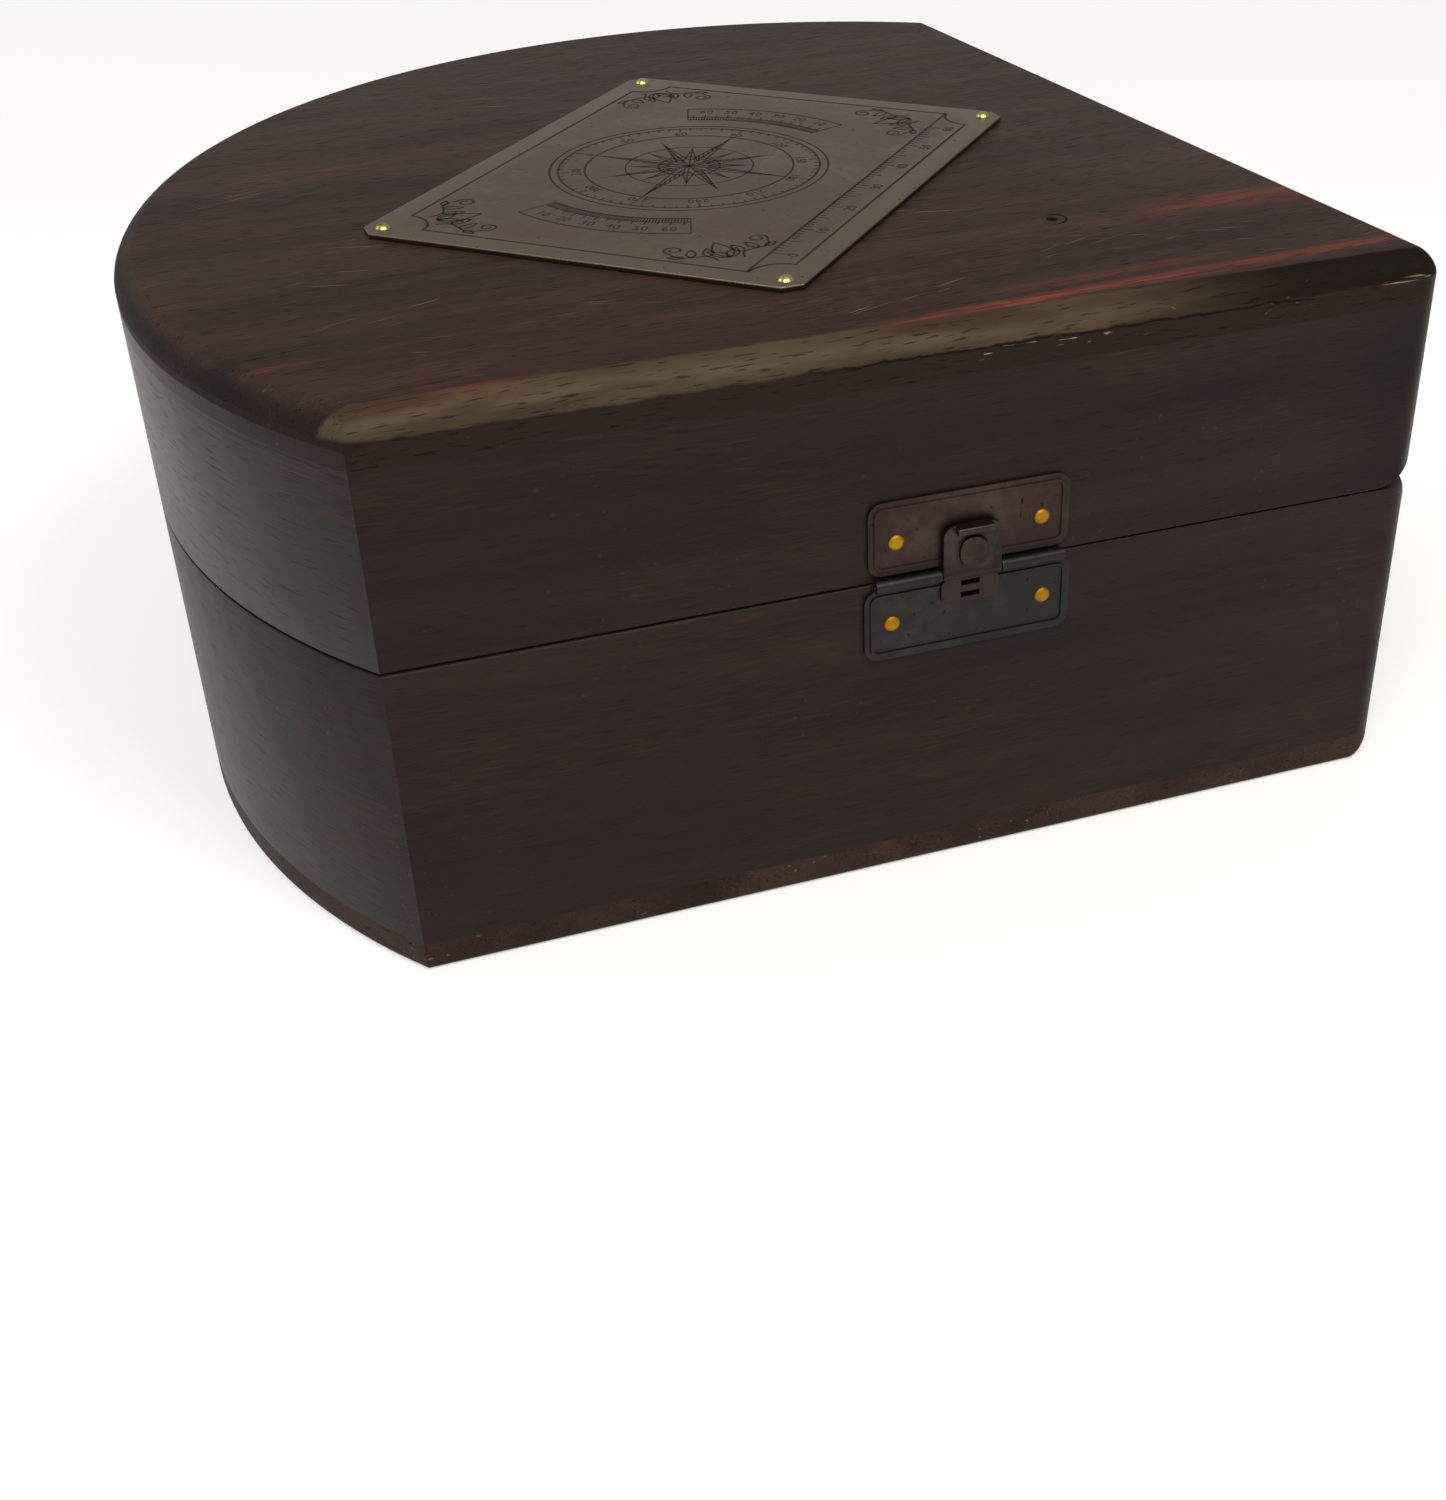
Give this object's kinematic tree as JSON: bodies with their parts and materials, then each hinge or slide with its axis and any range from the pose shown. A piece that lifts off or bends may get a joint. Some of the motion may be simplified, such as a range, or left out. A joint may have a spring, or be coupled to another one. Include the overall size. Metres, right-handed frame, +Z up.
{
  "type": "sextant box",
  "caption": "Fan-shaped dark wooden case for a small sextant, with a hinged lid, a sprung hasp latch, a brass plaque on top and a felt-lined inside.",
  "frame": {"origin": "middle of the footprint, on the underside", "axes": "+Z up; +X along the plan's line of symmetry from the curved side to the apex; the latch is on the straight side towards -Y, the hinges on the one towards +Y"},
  "size_m": [0.1692, 0.1754, 0.0725],
  "materials": {
    "case_wood": "satin varnished, dark brown",
    "rest_wood": "oiled",
    "lining_felt": "short pile, dark red",
    "plaque_brass": "aged and engraved",
    "latch_brass": "dark patina",
    "hinge_brass": "aged",
    "nail_brass": "bright",
    "pin_steel": "dull"
  },
  "bodies": {
    "base": {"base_bottom_board": "case_wood", "base_latch_side_wall": "case_wood", "base_hinge_side_wall": "case_wood", "base_curved_wall": "case_wood", "limb_rests": "rest_wood", "pivot_rest": "rest_wood", "handle_cradle": "rest_wood", "floor_lining": "lining_felt", "base_wall_lining": "lining_felt", "rest_felts": "lining_felt", "latch_lower_plate": "latch_brass", "apex_hinge_base_leaf": "hinge_brass", "rear_hinge_base_leaf": "hinge_brass", "latch_lower_nails": "nail_brass", "base_hinge_nails": "nail_brass", "latch_pin": "pin_steel", "apex_hinge_pin": "pin_steel", "rear_hinge_pin": "pin_steel", "bottom_board_nails": "pin_steel"},
    "lid": {"lid_top_board": "case_wood", "lid_latch_side_wall": "case_wood", "lid_hinge_side_wall": "case_wood", "lid_curved_wall": "case_wood", "lid_wall_lining": "lining_felt", "lid_ceiling_lining": "lining_felt", "lid_plaque": "plaque_brass", "plaque_nails": "nail_brass", "latch_upper_plate": "latch_brass", "latch_upper_nails": "nail_brass", "lid_hinge_nails": "nail_brass", "apex_hinge_lid_leaf": "hinge_brass", "rear_hinge_lid_leaf": "hinge_brass"},
    "hasp": {"hasp": "latch_brass"}
  },
  "joints": [
    {"name": "lid_hinge", "type": "hinge", "parent": "base", "child": "lid", "pos_m": [0.03782, 0.04624, 0.0411], "axis": [-0.7431, 0.6691, 0], "range_deg": [0, 180]},
    {"name": "hasp_hinge", "type": "hinge", "parent": "base", "child": "hasp", "pos_m": [0.0409, -0.04219, 0.0411], "axis": [0.7431, 0.6691, 0], "range_deg": [0, 120]}
  ]
}
